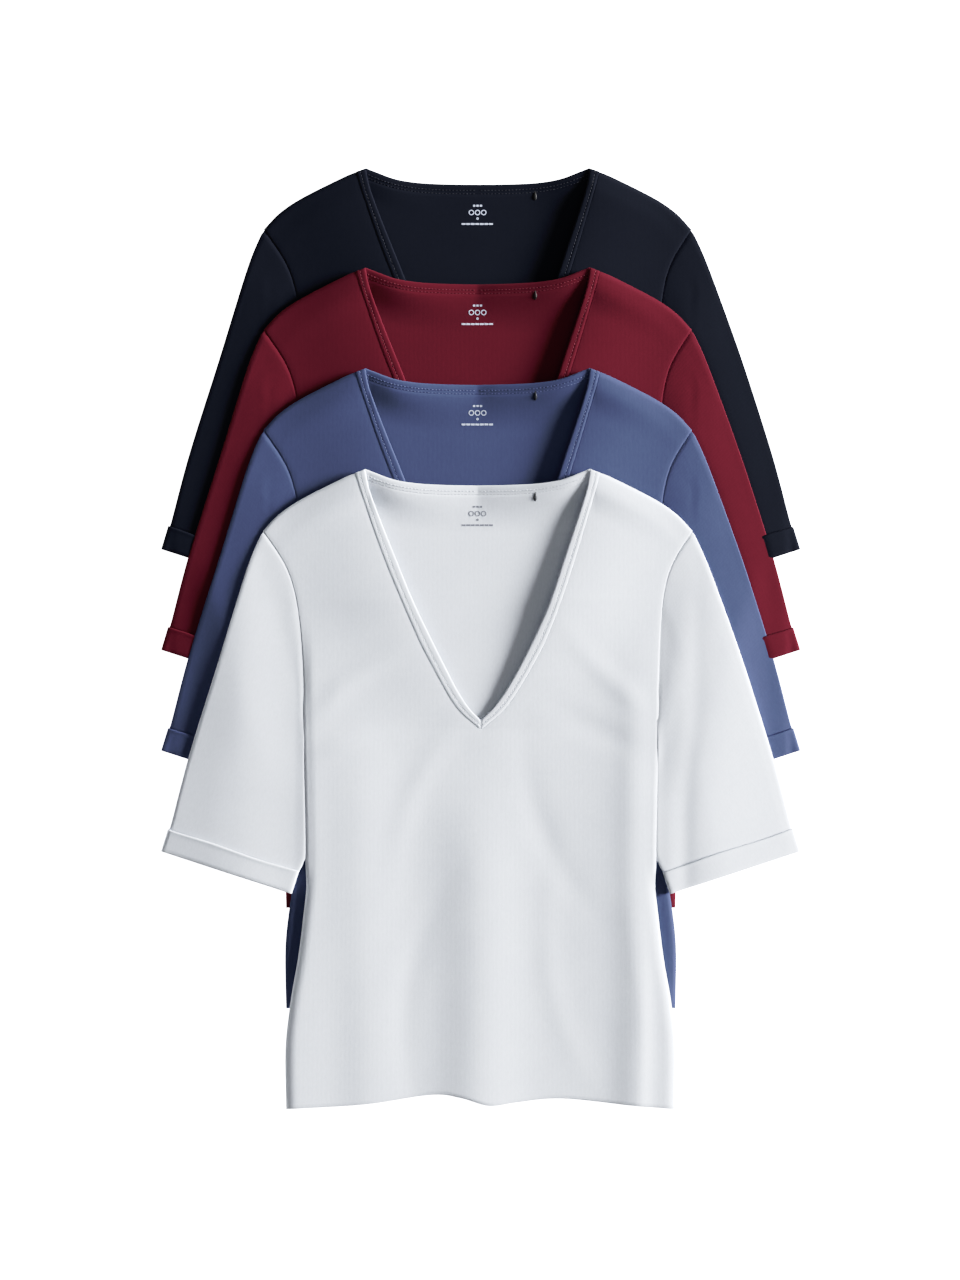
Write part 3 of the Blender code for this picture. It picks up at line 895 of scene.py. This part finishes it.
def run_of_stitches(points, pitch, length):
    """Starts and ends of stitches along a line of points, in metres."""
    steps = np.linalg.norm(np.diff(points, axis=0), axis=1)
    total = np.append(0.0, np.cumsum(steps))
    count = int(total[-1] / pitch)
    at = (np.arange(count) + 0.5) * total[-1] / count

    def along(where):
        return np.column_stack([np.interp(where, total, points[:, axis]) for axis in range(3)])

    return along(at - length / 2), along(at + length / 2)


def make_stitches(level):
    """Topstitching of the front binding, and the two rows that hold the back binding down."""
    pitch = settings().stitch_pitch
    across = np.array([BAND_STITCH_LINE])
    starts, ends = [], []
    for side in SIDES:
        plan = binding_plan(side, 150, across)[2:]
        spot = place(plan, side)
        line = in_stack(level, spot, binding_height(level, across, spot) + 0.52)[:, 0]
        runs = [(line, 0.68 * pitch)]
        for drop in (0.34, -0.05):
            lower, upper = (curve(edge, even(60)) for edge in (BACK_SEAM, BACK_NECK))
            row = place(lower + drop * (upper - lower), side)
            proud = 0.78 if drop > 0 else 0.42
            runs.append((in_stack(level, row, back_height(row) + proud)[1:-2], 0.6 * pitch))
        for points, length in runs:
            for store, made in zip((starts, ends), run_of_stitches(points, pitch, length)):
                store.append(made)
    finish_piece(thread(TEES[level] + "_neck_stitches", np.vstack(starts), np.vstack(ends),
                        thread_with_painted_highlight(level)))


def make_dark_drop_mark(level):
    """A dark drop-shaped mark inside the back neck, made with the thread shader."""
    name = TEES[level]
    # The mark is given 0.12 to 0.14 of the cloth's colour, far darker than the tee.
    dark = tuple(np.array(getattr(colours(), name)) * (0.14 if name == "white" else 0.12))
    rows = []
    for t in even(14):
        half = 1.8 * math.sin(math.pi * min(1.0, 0.03 + 0.97 * t) ** 1.8) ** 0.8 + 0.05
        y = DARK_DROP_PLACE[1] + 5.0 - 10.0 * t
        ring = []
        for a in np.linspace(0, 2 * math.pi, 12, endpoint=False):
            spot = np.array([DARK_DROP_PLACE[0] + half * math.cos(a), y])
            ring.append((spot, back_height(spot) + 0.5 + 0.42 * half * math.sin(a)))
        rows.append(ring)
    points = np.array([[in_stack(level, spot, height) for spot, height in ring] for ring in rows])
    points, quads = weld([points[:, ::-1]], closed=True)
    faces = [list(dict.fromkeys(f)) for f in quads.tolist()]
    thick = material_named(f"{name} tack spun polyester thread", sewing_thread, dark)
    finish_piece(mesh_object(name + "_bar_tack", points, faces, thick))


def make_print(level):
    """A plain mark where a size print goes: three blocks, three rings, a dot and a row of dashes."""
    name = TEES[level]
    ink = linear("#8B8E97") if name == "white" else linear("#C9D0E2")
    points, faces = [], []

    def lay(spots):
        """Put corners on the back's cloth; gives the number of the first one."""
        for spot in spots:
            at = np.array([spot[0] - LEAN, BACK_NECK[0][1] - spot[1]])
            points.append(in_stack(level, at, back_height(at) + PRINT_HEIGHT))
        return len(points) - len(spots)

    def block(left, width, drop, tall):
        low, high, right = drop + tall / 2, drop - tall / 2, left + width
        base = lay([(left, low), (right, low), (right, high), (left, high)])
        faces.append([base, base + 1, base + 2, base + 3])

    def ring(x, drop, inner, outer, count=28):
        angles = np.linspace(0, 2 * math.pi, count, endpoint=False)
        base = lay([(x + r * math.cos(a), drop - r * math.sin(a)) for r in (inner, outer) for a in angles])
        for i in range(count):
            j = (i + 1) % count
            faces.append([base + i, base + j, base + count + j, base + count + i])

    for x in (-3.2, 0.0, 3.2):
        block(x - 1.1, 2.2, PRINT_DROP[0], 1.8)
    for x in (-5.8, 0.0, 5.8):
        ring(x, PRINT_DROP[1], 1.7, 2.6)
    ring(0.0, PRINT_DROP[2], 0.35, 1.15)
    for k in range(7):
        block(-15.0 + 4.3 * k, 3.7, PRINT_DROP[3], 1.7)
    # Each mark is a film with a top and a bottom face, closed round its rim
    top = np.array(points)
    count = len(top)
    solid = faces + [[count + i for i in reversed(f)] for f in faces]
    edges = {edge for f in faces for edge in zip(f, f[1:] + f[:1])}
    solid += [[b, a, count + a, count + b] for a, b in sorted(edges) if (b, a) not in edges]
    points = np.vstack([top, top - np.array([0, 0, PRINT_FILM * MM])])
    film = material_named(f"{name} heat-transfer ink", print_ink, ink)
    piece = mesh_object(name + "_neck_print", points, solid, film)
    for polygon in piece.data.polygons:
        polygon.use_smooth = False
    finish_piece(piece)


def make_stage():
    """A pale floor and backdrop, a low soft lamp from the right, a weak one overhead, and the camera."""
    scene = bpy.context.scene
    material, tree = new_material("matt white painted board")
    # Painted board: bright and even, a little self-lit so that it reads as seamless white
    place_in = add_node(tree, "ShaderNodeTexCoord")
    grain = add_node(tree, "ShaderNodeTexNoise", {"Vector": (place_in, "Object"), "Scale": 1 / (6 * MM)})
    bump = add_node(tree, "ShaderNodeBump", {"Height": (grain, "Fac"), "Strength": 0.05,
                                             "Distance": 0.1 * MM})
    paint = add_node(tree, "ShaderNodeBsdfPrincipled", {
        "Normal": (bump, "Normal"), "Base Color": (*linear("#F4F5F6"), 1), "Roughness": 0.9,
        "Specular IOR Level": 0.1, "Emission Color": (1, 1, 1, 1), "Emission Strength": STAGE_GLOW})
    add_node(tree, "ShaderNodeOutputMaterial", {"Surface": (paint, "BSDF")})
    reach = FLOOR_REACH
    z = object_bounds()[0].z - FLOOR_GAP
    mesh = bpy.data.meshes.new("floor")
    mesh.from_pydata([(-reach, -reach, z), (reach, -reach, z), (reach, reach, z), (-reach, reach, z)], [],
                     [(0, 1, 2, 3)])
    mesh.materials.append(material)
    floor = bpy.data.objects.new("floor", mesh)
    scene.collection.objects.link(floor)
    floor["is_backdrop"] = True

    # A pale backdrop far behind it, seen by the camera and otherwise out of the light's way
    paper, tree = new_material("seamless white background paper")
    glow = add_node(tree, "ShaderNodeEmission", {"Color": (*linear("#F7F8F9"), 1), "Strength": STAGE_GLOW})
    add_node(tree, "ShaderNodeOutputMaterial", {"Surface": (glow, "Emission")})
    corners = [(x, y) for x, y in ((-1, -1), (1, -1), (1, 1), (-1, 1))]
    points = [(reach * x, reach * y, z + up) for up in (0.0, 2 * reach) for x, y in corners]
    mesh = bpy.data.meshes.new("backdrop")
    walls = [(i, i + 4, (i + 1) % 4 + 4, (i + 1) % 4) for i in range(4)]
    mesh.from_pydata(points, [], walls + [(4, 7, 6, 5)])
    mesh.materials.append(paper)
    backdrop = bpy.data.objects.new("backdrop", mesh)
    backdrop.visible_diffuse = backdrop.visible_glossy = backdrop.visible_shadow = False
    scene.collection.objects.link(backdrop)
    backdrop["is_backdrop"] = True

    world = bpy.data.worlds.new("soft white studio")
    world.use_nodes = True
    sky = world.node_tree.nodes["Background"].inputs
    sky["Color"].default_value, sky["Strength"].default_value = (0.96, 0.98, 1.0, 1), WORLD_GLOW
    scene.world = world

    for title, (azimuth, elevation, strength, spread) in LAMPS.items():
        sun = bpy.data.lights.new(title, "SUN")
        sun.energy, sun.angle, sun.color = strength, math.radians(spread), (0.985, 0.995, 1.0)
        item = bpy.data.objects.new(title, sun)
        scene.collection.objects.link(item)
        a, e = math.radians(azimuth), math.radians(elevation)
        item.location = Vector((math.cos(a) * math.cos(e), math.sin(a) * math.cos(e), math.sin(e))) * 3.0
        item.rotation_euler = item.location.to_track_quat("Z", "Y").to_euler()

    lens = bpy.data.cameras.new("camera")
    lens.lens, lens.sensor_width = 85.0, 36.0
    camera = bpy.data.objects.new("camera", lens)
    scene.collection.objects.link(camera)
    distance = VIEW_HEIGHT / 2 / math.tan(math.atan(lens.sensor_width / 2 / lens.lens))
    camera.location = (-0.7 * MM, -1.2 * MM, distance)
    camera.rotation_euler = (0, 0, 0)
    scene.camera = camera
    scene.view_settings.view_transform = "Standard"
    scene.view_settings.look = "None"
    scene.view_settings.use_curve_mapping = True
    response = scene.view_settings.curve_mapping
    response.clip_max_x = 3.0
    tone = response.curves[3]
    tone.points[0].location = (0.0, 0.0)
    tone.points[-1].location = TONE_END
    for point in TONE:
        tone.points.new(*point)
    response.update()


# ---- operators


def each_tee(make):
    """Make a piece of every tee, from the bottom one up."""
    for level in range(len(TEES)):
        make(level)
    return {"FINISHED"}


class TEES_OT_backs(bpy.types.Operator):
    """Lay the back of each tee"""

    bl_idname = "tees.backs"
    bl_label = "Backs"

    def execute(self, context):
        return each_tee(make_back)


class TEES_OT_back_bindings(bpy.types.Operator):
    """Sew the neck binding across each back"""

    bl_idname = "tees.back_bindings"
    bl_label = "Back neck bindings"

    def execute(self, context):
        return each_tee(make_back_binding)


class TEES_OT_fronts(bpy.types.Operator):
    """Lay the front of each tee over its back, with its folds"""

    bl_idname = "tees.fronts"
    bl_label = "Fronts"

    def execute(self, context):
        return each_tee(make_front)


class TEES_OT_front_bindings(bpy.types.Operator):
    """Sew the neck binding round each V"""

    bl_idname = "tees.front_bindings"
    bl_label = "V-neck bindings"

    def execute(self, context):
        return each_tee(make_front_binding)


class TEES_OT_sleeves(bpy.types.Operator):
    """Set in the two sleeves of each tee"""

    bl_idname = "tees.sleeves"
    bl_label = "Sleeves"

    def execute(self, context):
        for level in range(len(TEES)):
            for side in SIDES:
                make_sleeve(level, side)
        return {"FINISHED"}


class TEES_OT_cuffs(bpy.types.Operator):
    """Turn up the end of each sleeve"""

    bl_idname = "tees.cuffs"
    bl_label = "Turned-up cuffs"

    def execute(self, context):
        for level in range(len(TEES)):
            for side in SIDES:
                make_cuff(level, side)
        return {"FINISHED"}


class TEES_OT_stitches(bpy.types.Operator):
    """Stitch down each neck binding"""

    bl_idname = "tees.stitches"
    bl_label = "Neck stitching"

    def execute(self, context):
        return each_tee(make_stitches)


class TEES_OT_dark_drops(bpy.types.Operator):
    """Add the dark drop-shaped mark inside each back neck"""

    bl_idname = "tees.tacks"
    bl_label = "Bar tacks"

    def execute(self, context):
        return each_tee(make_dark_drop_mark)


class TEES_OT_prints(bpy.types.Operator):
    """Press a plain mark inside each back neck"""

    bl_idname = "tees.prints"
    bl_label = "Neck prints"

    def execute(self, context):
        return each_tee(make_print)


class TEES_OT_stage(bpy.types.Operator):
    """Set out the floor, the lights and the camera"""

    bl_idname = "tees.stage"
    bl_label = "Floor, lights and camera"

    def execute(self, context):
        make_stage()
        return {"FINISHED"}


OPERATORS = (TEES_OT_backs, TEES_OT_back_bindings, TEES_OT_fronts, TEES_OT_front_bindings, TEES_OT_sleeves,
             TEES_OT_cuffs, TEES_OT_stitches, TEES_OT_dark_drops, TEES_OT_prints, TEES_OT_stage)


class TEES_PT_panel(bpy.types.Panel):
    """Lists the steps and the sizes"""

    bl_idname = "TEES_PT_panel"
    bl_label = "Stack of tees"
    bl_space_type = "VIEW_3D"
    bl_region_type = "UI"
    bl_category = "Tees"

    def draw(self, context):
        for group in (context.scene.tee_stack, context.scene.tee_colours):
            box = self.layout.box()
            for name in group.__annotations__:
                box.prop(group, name)
        for step in OPERATORS:
            self.layout.operator(step.bl_idname)


CLASSES = (TeeStackSettings, TeeColourSettings) + OPERATORS + (TEES_PT_panel,)


def register():
    for item in CLASSES:
        bpy.utils.register_class(item)
    bpy.types.Scene.tee_stack = bpy.props.PointerProperty(type=TeeStackSettings)
    bpy.types.Scene.tee_colours = bpy.props.PointerProperty(type=TeeColourSettings)


def unregister():
    del bpy.types.Scene.tee_colours
    del bpy.types.Scene.tee_stack
    for item in reversed(CLASSES):
        bpy.utils.unregister_class(item)


def main():
    register()
    for step in OPERATORS:
        group, name = step.bl_idname.split(".")
        getattr(getattr(bpy.ops, group), name)()


if __name__ == "__main__":
    main()
